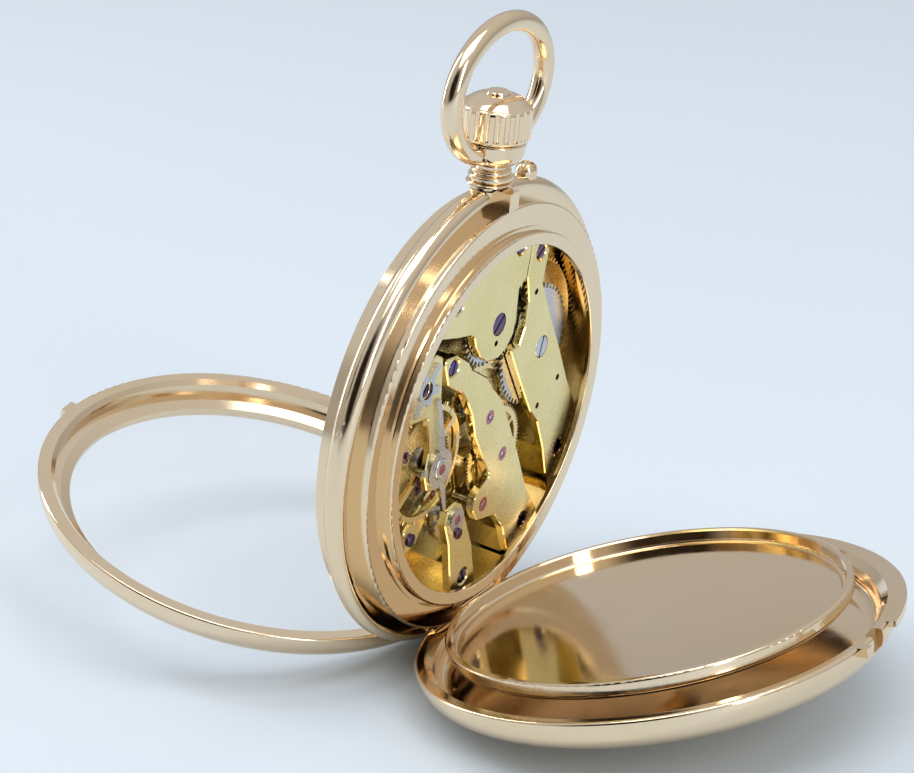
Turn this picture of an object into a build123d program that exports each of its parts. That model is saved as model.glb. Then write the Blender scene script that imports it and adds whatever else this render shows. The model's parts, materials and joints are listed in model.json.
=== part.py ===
from build123d import *
import math
import os

# Open-face pocket watch with a hinged glazed bezel, a hinged back and a hinged inner cover (cuvette).
# Everything is drawn in a bench frame: the watch lies on its dial with the case centre at the origin,
# +X towards 9 o'clock as seen from the back, +Y towards 6 o'clock and +Z out of the back.
# Lengths are millimetres and angles are degrees.

# ---------------------------------------------------------------- driving dimensions: case
CASE_R = 25.0            # outside radius of the case middle
BACK_R = 24.7            # outside radius of the back cover
BEZEL_R = 25.1           # outside radius of the bezel
LIP_IN_R = 18.6          # opening over the movement
LIP_OUT_R = 20.0         # snap wall for the cuvette
RING_OUT_R = 22.8        # snap wall for the back cover
BORE_R = 21.5            # bore for the movement, open to the front
TRAIN_BORE_R = 20.4      # bore behind the movement's ledge
FRONT_SEAT = -1.2        # level of the bezel's seat
FRONT_LIP = -2.9         # level of the front edge of the snap wall for the bezel
LEDGE = -0.9             # level of the ledge that the main plate rests on
BACK_SEAT = 1.3          # level of the back cover's seat
RING_TOP = 2.8           # level of the cuvette's seat
LIP_TOP = 3.8            # level of the edge of the movement opening
BACK_TOP = 6.1           # level of the flat middle of the back cover
BACK_FLAT_R = 15.0
SNAP_GAP = 0.08          # radial clearance between a cover and its snap wall

BACK_OPEN = 72.1         # rest angle of the back cover
CUVETTE_OPEN = 70.9      # rest angle of the cuvette
BEZEL_OPEN = 79.2        # rest angle of the bezel
LEAN = 7.6               # how far the open watch leans towards its back cover
BACK_HINGE = (23.4, 1.6)       # distance of the axis from the centre, and its level
CUVETTE_HINGE = (21.03, 2.95)
BEZEL_HINGE = (23.55, -1.6)
COVER_KNUCKLE_R = 0.62   # outside radius of the hinge knuckles of the back and the bezel
CUVETTE_KNUCKLE_R = 0.44
PIN_SHARE = 0.45         # radius of a hinge pin as a share of its knuckle's
PIN_GAP = 0.03           # radial clearance of a hinge pin
KNUCKLE_SIDE_GAP = 0.06

# ---------------------------------------------------------------- driving dimensions: movement
PLATE_R = 21.35
PLATE_BOTTOM = -2.3
BRIDGE_BOTTOM = 1.7
BRIDGE_TOP = 2.6
PIVOT_R = 0.22
JEWEL_GAP = 0.03
BARREL_AT = (-9.5, 4.8)
CENTRE_AT = (0.0, 0.0)
THIRD_AT = (-3.4, -5.45)
FOURTH_AT = (-0.3, -10.2)
ESCAPE_AT = (5.3, -9.7)
BALANCE_AT = (10.1, -1.9)
CROWN_WHEEL_AT = (0.0, 10.4)
BARREL_TEETH = 80
CENTRE_PINION_TEETH = 10
CENTRE_TEETH = 80
THIRD_PINION_TEETH = 10
THIRD_TEETH = 75
FOURTH_PINION_TEETH = 10
FOURTH_TEETH = 80
ESCAPE_PINION_TEETH = 8
ESCAPE_TEETH = 15
RATCHET_TEETH = 50
CROWN_TEETH = 36
CANNON_TEETH = 12
MINUTE_WHEEL_TEETH = 36
MINUTE_PINION_TEETH = 10
HOUR_TEETH = 40
STEM_LEVEL = -0.1         # level of the winding stem and of the pendant


def spot(x, z, level=0.0):
    """A place on the movement, with z counted towards 12 o'clock."""
    return Location((x, -z, level))


def polar(radius, degrees):
    """Point at an angle from 12 o'clock, growing towards +X, as (x, z)."""
    a = math.radians(degrees)
    return radius * math.sin(a), radius * math.cos(a)


def distance(a, b):
    return math.hypot(a[0] - b[0], a[1] - b[1])


def disc(radius, low, high):
    return Pos(0, 0, low) * Cylinder(radius, high - low, align=(Align.CENTER, Align.CENTER, Align.MIN))


def tube(outer, inner, low, high):
    margin = 1.0
    return disc(outer, low, high) - disc(inner, low - margin, high + margin)


def lathe(path):
    """Solid turned about the watch's axis. Each entry is (radius, level) for a straight run, or
    (radius, level, mid radius, mid level) for an arc to that place."""
    edges = []
    previous = path[-1][:2]
    for entry in path:
        start, end = (previous[0], 0, previous[1]), (entry[0], 0, entry[1])
        if len(entry) == 4:
            edges.append(ThreePointArc(start, (entry[2], 0, entry[3]), end))
        else:
            edges.append(Line(start, end))
        previous = entry[:2]
    return revolve(make_face(edges), Axis.Z, 360)


def dome(radius, edge, top):
    """Middle of the arc from a crown on the axis down to an edge, as (mid radius, mid level)."""
    drop = top - edge
    sphere = (radius ** 2 + drop ** 2) / (2 * drop)
    half = math.asin(radius / sphere) / 2
    return sphere * math.sin(half), top - sphere * (1 - math.cos(half))


def plate(points, low, high):
    """Flat plate with straight edges through (x, z) points."""
    outline = Polyline([(x, -z) for x, z in points], close=True)
    return Pos(0, 0, low) * extrude(make_face(outline), amount=high - low)


def soft_plate(points, low, high, radius=0.6):
    """Flat plate through (x, z) points with its corners rounded."""
    outline = Polyline([(x, -z) for x, z in points], close=True)
    face = make_face(outline)
    for r in (radius, radius * 0.6, radius * 0.3):
        try:
            face = fillet(face.vertices(), r)
            break
        except Exception:
            continue
    return Pos(0, 0, low) * extrude(face, amount=high - low)


def gear_face(teeth, tip_r, root_r, tip_share=0.24, root_share=0.50, phase=0.0):
    """Toothed disc; shares are the fraction of a pitch that a tooth fills at its tip and root."""
    pitch = 2 * math.pi / teeth
    points = []
    for k in range(teeth):
        mid = phase + k * pitch
        for share, radius in ((-root_share, root_r), (-tip_share, tip_r), (tip_share, tip_r),
                              (root_share, root_r)):
            a = mid + share * pitch / 2
            points.append((radius * math.cos(a), radius * math.sin(a)))
    return make_face(Polyline(points, close=True))


def gear(teeth, pitch_r, low, high, phase=0.0, addendum=0.75, dedendum=1.25, tip_share=0.22,
         root_share=0.52):
    module = 2 * pitch_r / teeth
    face = gear_face(teeth, pitch_r + addendum * module, pitch_r - dedendum * module, tip_share,
                     root_share, phase)
    return Pos(0, 0, low) * extrude(face, amount=high - low)


def bearing(a, b):
    """Direction from one movement place to another, in radians in the bench frame."""
    return math.atan2(-(b[1] - a[1]), b[0] - a[0])


def mesh_phase(teeth, towards, gap):
    """Phase that puts a tooth, or with gap a space, on the line of centres."""
    pitch = 2 * math.pi / teeth
    return towards + (pitch / 2 if gap else 0.0)


def spoked(teeth, pitch_r, low, high, phase, spokes, hub_r, rim, arm=0.55):
    """Wheel with spokes cut out of a toothed disc."""
    wheel = gear(teeth, pitch_r, low, high, phase)
    module = 2 * pitch_r / teeth
    inner = pitch_r - 1.25 * module - rim
    windows = tube(inner, hub_r, low - 0.1, high + 0.1)
    for k in range(spokes):
        turn = 360.0 * k / spokes
        windows -= Rot(0, 0, turn) * Pos(inner / 2, 0, (low + high) / 2) * Box(inner, arm, high - low + 1)
    return wheel - windows


def screw(head_r, head_h, shank_r, shank_l, slot_w=0.22, slot_d=0.16, turn=0.0):
    """Cheese-head screw with its seat at level zero."""
    head = disc(head_r, 0, head_h)
    head = chamfer(head.edges().group_by(Axis.Z)[-1], min(0.07, head_h * 0.3))
    slot = Rot(0, 0, turn) * Pos(0, 0, head_h - slot_d / 2 + 0.005) * Box(3 * head_r, slot_w, slot_d + 0.01)
    return head - slot + disc(shank_r, -shank_l, 0)


def fuse_all(shapes):
    total = shapes[0]
    for shape in shapes[1:]:
        total = total + shape
    return total


# ---------------------------------------------------------------- case
PENDANT_R = 2.45         # radius of the pendant's foot
PENDANT_LEVEL = STEM_LEVEL
PENDANT_BASE = 24.6      # distance of the pendant's foot from the centre
BOW_PIVOT = 28.7         # distance of the bow's pivot from the centre
CROWN_BOTTOM = 29.8      # distance of the underside of the crown from the centre
CROWN_TOP = 34.5
CROWN_R = 3.6
CROWN_FLUTES = 22
STEM_R = 0.6
CUP_R = 3.3              # radius of the pendant's cup, which carries the bow
EAR_R = 3.6              # distance of the bow's ears from the axis
TRUNNION_R = 0.42
BOW_WIRE = 1.05          # radius of the bow's wire
BOW_HALF_WIDTH = 8.6     # from the axis to the middle of the wire
BOW_TOP = 41.3           # distance of the middle of the wire's top from the centre
PUSHER_AT = (-6.8, 0.1)     # place along X and level of the setting pusher
PUSHER_R = 0.55


def towards_twelve(shape, level, start):
    """Turns a shape drawn along +Z so that it points to 12 o'clock from a distance of start."""
    return Pos(0, -start, level) * Rot(90, 0, 0) * shape


def pendant_bore(radius):
    return towards_twelve(disc(radius, 0, 20), STEM_LEVEL, 17)


def hinge_tube(at, x_from, x_to, radius):
    length = x_to - x_from
    mid = (x_from + x_to) / 2
    return Pos(mid, at[0], at[1]) * Rot(0, 90, 0) * Cylinder(radius, length)


def hinge_spans(half_width, count):
    """Ends along X of the knuckles of one hinge, from left to right."""
    length = 2 * half_width / count
    return [(-half_width + k * length, -half_width + (k + 1) * length) for k in range(count)]


def fit_hinge(case, cover, at, half_width, count, knuckle_r):
    """Gives the case the outer knuckles and the cover the ones between, and returns the pin too."""
    pin_r = knuckle_r * PIN_SHARE
    bore = hinge_tube(at, -half_width - 1, half_width + 1, pin_r + PIN_GAP)
    spans = hinge_spans(half_width, count)
    rooms = [hinge_tube(at, left - KNUCKLE_SIDE_GAP, right + KNUCKLE_SIDE_GAP, knuckle_r + 0.08)
             for left, right in spans]
    knuckles = [hinge_tube(at, left, right, knuckle_r) - bore for left, right in spans]
    case = case - rooms[1::2] - bore + knuckles[0::2]
    cover = cover - rooms[0::2] - bore + knuckles[1::2]
    pin = hinge_tube(at, -half_width + 0.1, half_width - 0.1, pin_r)
    return case, cover, pin


def trim_past_hinge(cover, at, low, high):
    """Cuts the cover off along a chord just inside its hinge's axis."""
    depth = 6.0
    chord = Pos(0, at[0] + depth / 2, (low + high) / 2) * Box(40, depth, high - low)
    return cover - chord


def make_case_middle():
    body = lathe([
        (BORE_R, FRONT_LIP),
        (23.1, FRONT_LIP),
        (23.1, FRONT_SEAT),
        (24.0, FRONT_SEAT),
        (CASE_R, 0.0, 24.75, -0.85),
        (23.9, BACK_SEAT, 24.72, 0.92),
        (RING_OUT_R, BACK_SEAT),
        (RING_OUT_R, RING_TOP - 0.25),
        (RING_OUT_R - 0.25, RING_TOP, RING_OUT_R - 0.07, RING_TOP - 0.07),
        (LIP_OUT_R, RING_TOP),
        (LIP_OUT_R, LIP_TOP - 0.2),
        (LIP_OUT_R - 0.2, LIP_TOP, LIP_OUT_R - 0.06, LIP_TOP - 0.06),
        (LIP_IN_R + 0.2, LIP_TOP),
        (LIP_IN_R, LIP_TOP - 0.2, LIP_IN_R + 0.06, LIP_TOP - 0.06),
        (LIP_IN_R, 3.2),
        (TRAIN_BORE_R, 2.9),
        (TRAIN_BORE_R, LEDGE),
        (BORE_R, LEDGE),
    ])
    foot = towards_twelve(disc(PENDANT_R - 0.1, 0, 1.0), PENDANT_LEVEL, 23.7)
    band_slice = tube(26.0, 22.0, FRONT_SEAT, BACK_SEAT)
    body = body + (foot & band_slice)
    key = Pos(0, -23.7, (BACK_SEAT + 2.9) / 2 - 0.1) * Box(1.8, 1.9, 2.9 - BACK_SEAT + 0.2)
    body = body + (key - disc(RING_OUT_R - 0.3, 0, 5))
    pusher_hole = Pos(PUSHER_AT[0], -22.0, PUSHER_AT[1]) * Rot(90, 0, 0) * Cylinder(PUSHER_R + 0.04, 8)
    guard_seat = Pos(PUSHER_AT[0], -24.9, PUSHER_AT[1]) * Rot(90, 0, 0) * Cylinder(1.2, 2.2)
    return body - pendant_bore(STEM_R + 0.05) - pusher_hole - guard_seat


def make_pendant():
    """Turned neck with two ring mouldings, opening into the cup that carries the bow."""
    bore_r = STEM_R + 0.05
    neck = lathe([
        (bore_r, 0.0), (2.45, 0.0), (2.45, 0.4), (2.1, 0.75, 2.38, 0.65), (1.9, 0.85),
        (2.25, 1.15, 2.15, 0.88),
        (1.9, 1.45, 2.15, 1.42), (1.8, 1.55), (2.05, 1.8, 1.95, 1.6), (1.7, 2.05, 1.95, 2.0), (1.6, 2.2),
        (1.6, 2.45), (CUP_R - 0.1, 4.2, 2.8, 3.1), (CUP_R, 4.85), (CUP_R - 0.25, 5.1, CUP_R - 0.07, 5.03),
        (bore_r, 5.1)])
    neck = towards_twelve(neck, PENDANT_LEVEL, PENDANT_BASE)
    sockets = Pos(0, -BOW_PIVOT, PENDANT_LEVEL) * Rot(0, 90, 0) * Cylinder(TRUNNION_R + 0.05, 10)
    cover_room = CASE_R + 0.22
    neck = neck - disc(cover_room, BACK_SEAT, 4) - disc(cover_room, -4, FRONT_SEAT)
    return neck - pendant_bore(bore_r) - sockets - disc(CASE_R, -4, 4)


def make_bow():
    """Oval loop of round wire with two inward trunnions."""
    height = BOW_TOP - BOW_PIVOT
    across = math.sqrt(1 - (EAR_R / BOW_HALF_WIDTH) ** 2)
    tall = height / (1 + across)
    start = math.degrees(math.asin(-across))
    path = EllipticalCenterArc((0, height - tall), BOW_HALF_WIDTH, tall, start_angle=start,
                               arc_size=180 - 2 * start)
    ring = sweep(Plane(path @ 0, z_dir=path % 0) * Circle(BOW_WIRE), path)
    ring = ring - Box(2 * EAR_R, 4 * BOW_WIRE, 4 * BOW_WIRE)
    for side in (-1, 1):
        ring = ring + Pos(side * (EAR_R - 0.45), 0, 0) * Rot(0, 90, 0) * Cylinder(TRUNNION_R, 1.9)
    return Pos(0, -BOW_PIVOT, PENDANT_LEVEL) * Rot(180, 0, 0) * ring


def make_crown():
    """Domed crown, fluted round its sides, with a flat button on top."""
    height = CROWN_TOP - CROWN_BOTTOM
    hub_r = STEM_R - 0.15
    body = lathe([
        (hub_r, 0.0), (CROWN_R - 0.35, 0.0), (CROWN_R, 0.3, CROWN_R - 0.1, 0.1), (CROWN_R, 3.0),
        (CROWN_R - 0.4, 3.5, CROWN_R - 0.1, 3.3), (1.25, height - 0.3, 2.35, 4.1), (1.15, height - 0.08),
        (1.05, height), (0.0, height), (0.0, 2.0), (hub_r, 2.0)])
    for k in range(CROWN_FLUTES):
        turn = 360.0 * k / CROWN_FLUTES
        flute = Rot(0, 0, turn) * Pos(CROWN_R + 0.08, 0, 1.9) * Cylinder(0.3, 3.0)
        body = body - flute
    return towards_twelve(body, STEM_LEVEL, CROWN_BOTTOM)


def make_setting_pusher():
    """Push pin with a domed nail end that engages the hand setting."""
    pin = disc(PUSHER_R, 0, 4.5)
    pin = fillet(pin.edges().group_by(Axis.Z)[-1], 0.3)
    return Pos(PUSHER_AT[0], -20.75, PUSHER_AT[1]) * Rot(90, 0, 0) * pin


def make_pusher_guard():
    """Soldered collar that keeps the pusher from being pressed by accident."""
    guard = lathe([(PUSHER_R + 0.04, 0.0), (1.15, 0.0), (1.15, 0.45), (PUSHER_R + 0.15, 1.45, 1.03, 1.1),
                   (PUSHER_R + 0.04, 1.45)])
    slot = Pos(0, 0, 1.45) * Box(0.5, 3, 0.6)
    return Pos(PUSHER_AT[0], -23.85, PUSHER_AT[1]) * Rot(90, 0, 0) * (guard - slot)


def key_notch():
    """Space that the back cover leaves round the key block under the pendant."""
    return Pos(0, -23.9, 2.1) * Box(2.1, 2.8, 1.9)


def sector(radius_in, radius_out, low, high, start, end):
    """Piece of a flat ring between two angles from 12 o'clock."""
    steps = max(3, int(abs(end - start) / 4))
    reach = radius_out * 1.3
    fan = [(0.0, 0.0)] + [polar(reach, start + (end - start) * k / steps) for k in range(steps + 1)]
    return tube(radius_out, radius_in, low, high) & plate(fan, low, high)


def make_back_cover():
    inner = RING_OUT_R + SNAP_GAP
    shell = lathe([
        (BACK_R - 0.35, BACK_SEAT), (BACK_R, BACK_SEAT + 0.35, BACK_R - 0.1, BACK_SEAT + 0.1),
        (BACK_R, BACK_SEAT + 0.8),
        (21.3, 5.15, 23.85, 3.95), (BACK_FLAT_R, BACK_TOP, 18.4, 5.82), (0.0, BACK_TOP), (0.0, 5.6),
        (20.9, 4.7, *dome(20.9, 4.7, 5.6)),
        (inner, 2.9, 22.5, 3.95), (inner, BACK_SEAT + 0.75), (inner + 0.75, BACK_SEAT)])
    lip = Pos(-0.36, -0.76, 0) * disc(BACK_R, BACK_SEAT, BACK_SEAT + 0.6)
    lip = lip & sector(23.9, BACK_R + 2, BACK_SEAT, BACK_SEAT + 0.6, -80, -6.5)
    tab = sector(24.0, BACK_R + 0.9, BACK_SEAT, BACK_SEAT + 0.9, 6.5, 9)
    return shell + lip + tab - key_notch()


def make_cuvette():
    inner = LIP_OUT_R + SNAP_GAP
    outer = 20.9
    return lathe([
        (outer - 0.2, RING_TOP), (outer, RING_TOP + 0.3, outer - 0.05, RING_TOP + 0.1),
        (outer, RING_TOP + 1.1),
        (19.7, 4.62, 20.6, 4.4), (0.0, 5.2, *dome(19.7, 4.62, 5.2)), (0.0, 4.75),
        (19.5, 4.2, *dome(19.5, 4.2, 4.75)),
        (inner, RING_TOP + 1.05, 20.0, 4.1), (inner, RING_TOP + 0.15), (inner + 0.15, RING_TOP)])


def make_bezel():
    inner = 23.1 + SNAP_GAP
    ring = lathe([
        (inner + 0.5, FRONT_SEAT), (BEZEL_R - 0.3, FRONT_SEAT),
        (BEZEL_R, FRONT_SEAT - 0.3, BEZEL_R - 0.08, FRONT_SEAT - 0.08),
        (BEZEL_R, FRONT_SEAT - 0.75), (22.7, -4.9, 24.3, -3.75), (22.0, -5.2, 22.4, -5.12), (21.9, -5.1),
        (21.9, -4.25),
        (21.25, -4.25), (21.25, -3.75), (22.3, -3.2), (inner, FRONT_LIP - 0.1), (inner, FRONT_SEAT - 0.5)])
    nail = sector(24.3, BEZEL_R + 0.55, FRONT_SEAT - 0.8, FRONT_SEAT, 7.5, 12.5)
    return ring + nail


def make_crystal():
    outer_r, outer_level = dome(21.5, 5.35, 6.2)
    inner_r, inner_level = dome(20.9, 4.25, 5.4)
    return lathe([
        (21.85, -4.25), (21.85, -5.05), (21.5, -5.35, 21.75, -5.28), (0.0, -6.2, outer_r, -outer_level),
        (0.0, -5.4),
        (20.9, -4.25, inner_r, -inner_level)])


# ---------------------------------------------------------------- levels of the movement, from dial to back
DIAL_LEVEL = (-3.1, -2.5)
MOTION_FLOOR = -1.5      # floor of the recess for the motion work
BARREL_LEVEL = (-0.8, 0.6)
BARREL_TEETH_LEVEL = (-0.8, -0.25)
CENTRE_LEVEL = (0.72, 0.97)
THIRD_LEVEL = (1.15, 1.4)
FOURTH_LEVEL = (-0.75, -0.55)
ESCAPE_LEVEL = (-0.2, 0.0)
BALANCE_LEVEL = (1.1, 1.45)
WINDING_LEVEL = (1.1, 1.55)
COCK_LEVEL = (2.3, 2.9)
JEWEL_R = 0.8
ARBOR_R = 0.3
BRIDGE_EDGE = 0.12       # width of the polished bevel round the bridges
PALLET_TO_ESCAPE = 3.55
ESCAPE_TIP_R = 2.9


def along(a, b, length):
    """Place at a distance from a on the line to b."""
    share = length / distance(a, b)
    return a[0] + (b[0] - a[0]) * share, a[1] + (b[1] - a[1]) * share


PALLET_AT = along(ESCAPE_AT, BALANCE_AT, PALLET_TO_ESCAPE)


def pitch_radius(a, b, own_teeth, other_teeth):
    return distance(a, b) * own_teeth / (own_teeth + other_teeth)


def rim(start, end, radius=20.1, step=4.0):
    """Places along the edge of the movement between two angles from 12 o'clock."""
    count = max(2, int(abs(end - start) / step))
    return [polar(radius, start + (end - start) * k / count) for k in range(count + 1)]


BARREL_BRIDGE = [(-5.3, 17.7), (-4.7, 14.0), (-3.4, 13.3), (-3.4, 10.1), (-3.1, 8.4), (-1.9, 7.1),
                 (-0.4, 6.5),
                 (1.8, 6.8), (3.1, 7.7), (4.3, 9.3), (4.7, 10.4), (5.5, 10.9), (7.9, 11.4), (10.9, 12.2),
                 (14.8, 13.4)] + rim(46, -14)
BARREL_FEET = [[(2.6, 16.6), (6.5, 14.2), (10.9, 12.6), (14.6, 13.5)] + rim(45, 8),
               [(-5.1, 17.4), (-2.2, 16.8)] + rim(-6.5, -14.5, 20.1, 2)]
RATCHET_BRIDGE = [(-5.5, 17.8), (-5.0, 14.0), (-5.8, 11.0), (-5.55, 8.3), (-4.7, 6.6), (-3.0, 6.4),
                  (-4.0, 4.7),
                  (-6.2, 1.2), (-8.6, -2.5), (-10.35, -4.3), (-12.2, -8.0), (-14.3, -14.0)] + \
    rim(-134, -107) + [(-16.1, -1.2), (-13.5, 3.5), (-10.8, 8.0), (-8.3, 12.5), (-8.6, 14.0), (-9.3, 17.6)]
RATCHET_FEET = [[(-5.5, 17.7), (-5.3, 15.4), (-8.7, 14.9), (-9.2, 17.5)],
                [(-12.4, -8.2), (-14.3, -13.8)] + rim(-133, -110) + [(-17.2, -6.6)]]
TRAIN_BRIDGE = [(10.2, 9.8), (7.6, 9.5), (5.3, 8.0), (4.6, 7.0), (1.25, 4.9), (0, 3.4), (-2.25, 1.2),
                (-4, -1.7),
                (-6.7, -6.4), (-9.6, -12.1), (-12.4, -15.6)] + rim(-143, -160) + \
    [(-5.1, -14.9), (-3.1, -12.6), (0.6, -11.8), (1.6, -10.4), (1.5, -8.9), (0.2, -8.0), (-1.2, -7.2),
     (0.6, -4.6),
     (2.6, -1.4), (3.6, 1.4), (4.8, 3.3), (6.0, 4.8), (9.0, 6.6)]
TRAIN_FEET = [[(10.1, 9.7), (7.7, 9.4), (6.2, 7.0), (8.9, 6.8)],
              [(-8.8, -13.0), (-12.2, -15.6)] + rim(-143, -160) + [(-6.0, -15.9)]]
ESCAPE_COCK = [(4.0, -8.5), (5.3, -7.7), (6.7, -8.4), (7.1, -9.9), (6.0, -12.5), (4.6, -19.4)] + \
    rim(167, 181) + [(1.2, -14.3), (2.8, -11.0)]
ESCAPE_FEET = [[(4.1, -16.0), (4.5, -19.3)] + rim(167.5, 180) + [(0.6, -16.2)]]
BALANCE_COCK = [(8.0, -2.2), (8.5, -3.9), (10.2, -4.4), (11.9, -3.9), (12.6, -2.0), (12.2, 0.4),
                (12.9, 4.6),
                (16.6, 5.0), (16.4, 9.4), (12.2, 11.2), (11.0, 10.6), (10.6, 5.6), (9.7, 0.9), (8.5, -0.4)]
COCK_FEET = [[(11.3, 6.0), (16.4, 5.6), (16.2, 9.2), (12.3, 10.9), (11.4, 10.4)]]
BRIDGE_SCREWS = {
    "barrel": [(-3.1, 18.0), (8.4, 15.0)],
    "ratchet": [(-7.3, 16.2), (-15.6, -9.2)],
    "train": [(8.2, 8.3), (-9.2, -15.6)],
    "escape": [(2.5, -17.6)],
    "cock": [(13.9, 8.0)],
}


def bridge(outline, feet, low=BRIDGE_BOTTOM, high=BRIDGE_TOP):
    """Bridge or cock: a flat top with a polished bevel, standing on feet."""
    top = soft_plate(outline, low, high, 0.5)
    try:
        top = chamfer(top.edges().group_by(Axis.Z)[-1], BRIDGE_EDGE)
    except Exception:
        pass
    return fuse_all([top] + [plate(foot, LEDGE, low + 0.01) for foot in feet])


def screw_hole(place, top, depth=3.6):
    """Countersunk seat and shank hole for a movement screw."""
    seat = spot(*place) * disc(0.88, top - 0.45, top + 1)
    cone = spot(*place, top - 0.2) * Cone(0.88, 1.15, 0.28, align=(Align.CENTER, Align.CENTER, Align.MIN))
    return seat + cone + spot(*place) * disc(0.37, top - depth, top)


def movement_screw(place, top, depth=3.6, turn=0.0):
    return spot(*place, top - 0.45) * screw(0.82, 0.42, 0.36, depth - 0.5, 0.24, 0.2, turn)


def jewel_ring(place, low, high, hole=PIVOT_R + JEWEL_GAP, outer=JEWEL_R):
    """Hole jewel with a cupped oil sink."""
    ring = tube(outer, hole, low, high)
    sink = Pos(0, 0, high - 0.12) * Cone(hole, outer * 0.62, 0.14,
                                         align=(Align.CENTER, Align.CENTER, Align.MIN))
    return spot(*place) * (ring - sink)


def train_places():
    return [CENTRE_AT, THIRD_AT, FOURTH_AT]


def make_main_plate():
    body = disc(PLATE_R, PLATE_BOTTOM, LEDGE) - disc(9.6, PLATE_BOTTOM - 1, MOTION_FLOOR)
    body = body + plate([(-2.0, 18.7), (-2.0, 20.0), (2.0, 20.0), (2.0, 18.7)], LEDGE - 0.01, BRIDGE_BOTTOM)
    body = body - Pos(0, -19.5, STEM_LEVEL) * Rot(90, 0, 0) * Cylinder(STEM_R + 0.05, 6)
    pusher_room = Pos(PUSHER_AT[0], -20.5, PUSHER_AT[1]) * Box(1.6, 3.2, 1.6)
    stem_room = Pos(0, -15.5, LEDGE) * Box(2.8, 4.8, 1.0)
    seconds = spot(*FOURTH_AT) * disc(0.5, PLATE_BOTTOM - 1, LEDGE + 1)
    centre = disc(0.75, PLATE_BOTTOM - 1, LEDGE + 1)
    body = body - pusher_room - stem_room - seconds - centre
    for place in (THIRD_AT, ESCAPE_AT, PALLET_AT, BALANCE_AT):
        body = body - spot(*place) * disc(JEWEL_R, PLATE_BOTTOM - 1, LEDGE + 1)
    body = body - spot(*BARREL_AT) * disc(1.3, PLATE_BOTTOM - 1, LEDGE + 1)
    for group in BRIDGE_SCREWS.values():
        for place in group:
            body = body - spot(*place) * disc(0.37, LEDGE - 1.0, LEDGE + 1)
    for place in CASE_SCREWS:
        body = body - spot(*place) * disc(0.41, LEDGE - 1.0, LEDGE + 1)
    body = body + spot(*CLICK_AT) * (disc(0.31, LEDGE - 0.01, BRIDGE_BOTTOM) + disc(0.6, LEDGE - 0.01,
                                                                                    1.05))
    body = body + spot(*MINUTE_WHEEL_AT) * (disc(0.27, -2.47, MOTION_FLOOR + 0.01)
                                            + disc(0.5, MOTION_FLOOR - 0.08, MOTION_FLOOR + 0.01))
    for place in DIAL_FEET:
        body = body - spot(*place) * disc(0.42, PLATE_BOTTOM - 1, LEDGE + 1)
    return body


CASE_SCREWS = [polar(19.6, 62), polar(19.6, -36)]
DIAL_FEET = [polar(17.6, 100), polar(17.8, 220), polar(17.8, 340)]


def make_jewels():
    """Ruby hole jewels of the train bridge, the cocks and the main plate."""
    rings = [jewel_ring(place, BRIDGE_TOP - 0.45, BRIDGE_TOP) for place in train_places()]
    rings.append(jewel_ring(ESCAPE_AT, BRIDGE_TOP - 0.6, BRIDGE_TOP - 0.1))
    rings.append(jewel_ring(BALANCE_AT, COCK_LEVEL[1] - 0.5, COCK_LEVEL[1]))
    rings.append(jewel_ring(PALLET_AT, 0.5, 0.8, outer=0.55))
    for place in (THIRD_AT, ESCAPE_AT, PALLET_AT, BALANCE_AT):
        rings.append(jewel_ring(place, LEDGE - 0.45, LEDGE))
    return Compound(children=[ring.solid() for ring in rings] + make_endstones())


def make_barrel_bridge():
    body = bridge(BARREL_BRIDGE, BARREL_FEET)
    body = body - spot(*CROWN_WHEEL_AT) * disc(1.25, BRIDGE_TOP - 0.45, BRIDGE_TOP + 1)
    body = body - spot(*CROWN_WHEEL_AT) * disc(0.62, 0, 5) - spot(0.3, 8.4) * disc(0.32, 0, 5)
    for place in BRIDGE_SCREWS["barrel"]:
        body = body - screw_hole(place, BRIDGE_TOP)
    return body


def make_ratchet_bridge():
    body = bridge(RATCHET_BRIDGE, RATCHET_FEET)
    body = body - spot(*BARREL_AT) * disc(1.25, BRIDGE_TOP - 0.45, BRIDGE_TOP + 1)
    body = body - spot(*BARREL_AT) * disc(0.85, 0, 5)
    for place in ((-13.8, -0.2), (-9.9, -2.2), (-7.1, 11.8)):
        body = body - spot(*place) * disc(0.35, 0, 5)
    for place in BRIDGE_SCREWS["ratchet"]:
        body = body - screw_hole(place, BRIDGE_TOP)
    return body


def make_train_bridge():
    body = bridge(TRAIN_BRIDGE, TRAIN_FEET)
    for place in train_places():
        body = body - spot(*place) * (disc(JEWEL_R, BRIDGE_TOP - 0.45, BRIDGE_TOP + 1) + disc(0.62, 0, 5))
    for place in BRIDGE_SCREWS["train"]:
        body = body - screw_hole(place, BRIDGE_TOP)
    return body


def make_escape_cock():
    body = bridge(ESCAPE_COCK, ESCAPE_FEET)
    body = body - spot(*ESCAPE_AT) * (disc(JEWEL_R, BRIDGE_TOP - 0.6, BRIDGE_TOP + 1) + disc(0.42, 0, 5))
    for place in BRIDGE_SCREWS["escape"]:
        body = body - screw_hole(place, BRIDGE_TOP)
    return body - spot(*CAP_SCREW_AT) * disc(0.2, 1.8, 5)


CAP_SCREW_AT = (5.1, -11.3)


def make_escape_cap():
    """Polished steel cap with the endstone over the escape pivot."""
    (x, z), (sx, sz) = ESCAPE_AT, CAP_SCREW_AT
    cap = spot(x, z) * disc(1.25, BRIDGE_TOP, BRIDGE_TOP + 0.35)
    cap = cap + plate([(x - 1.2, z), (sx - 0.75, sz), (sx + 0.75, sz), (x + 1.2, z)], BRIDGE_TOP,
                      BRIDGE_TOP + 0.35)
    cap = cap + spot(sx, sz) * disc(0.75, BRIDGE_TOP, BRIDGE_TOP + 0.35)
    window = spot(x, z) * disc(0.55, 0, 5)
    return cap - window - spot(sx, sz) * disc(0.2, 0, 5)


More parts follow.
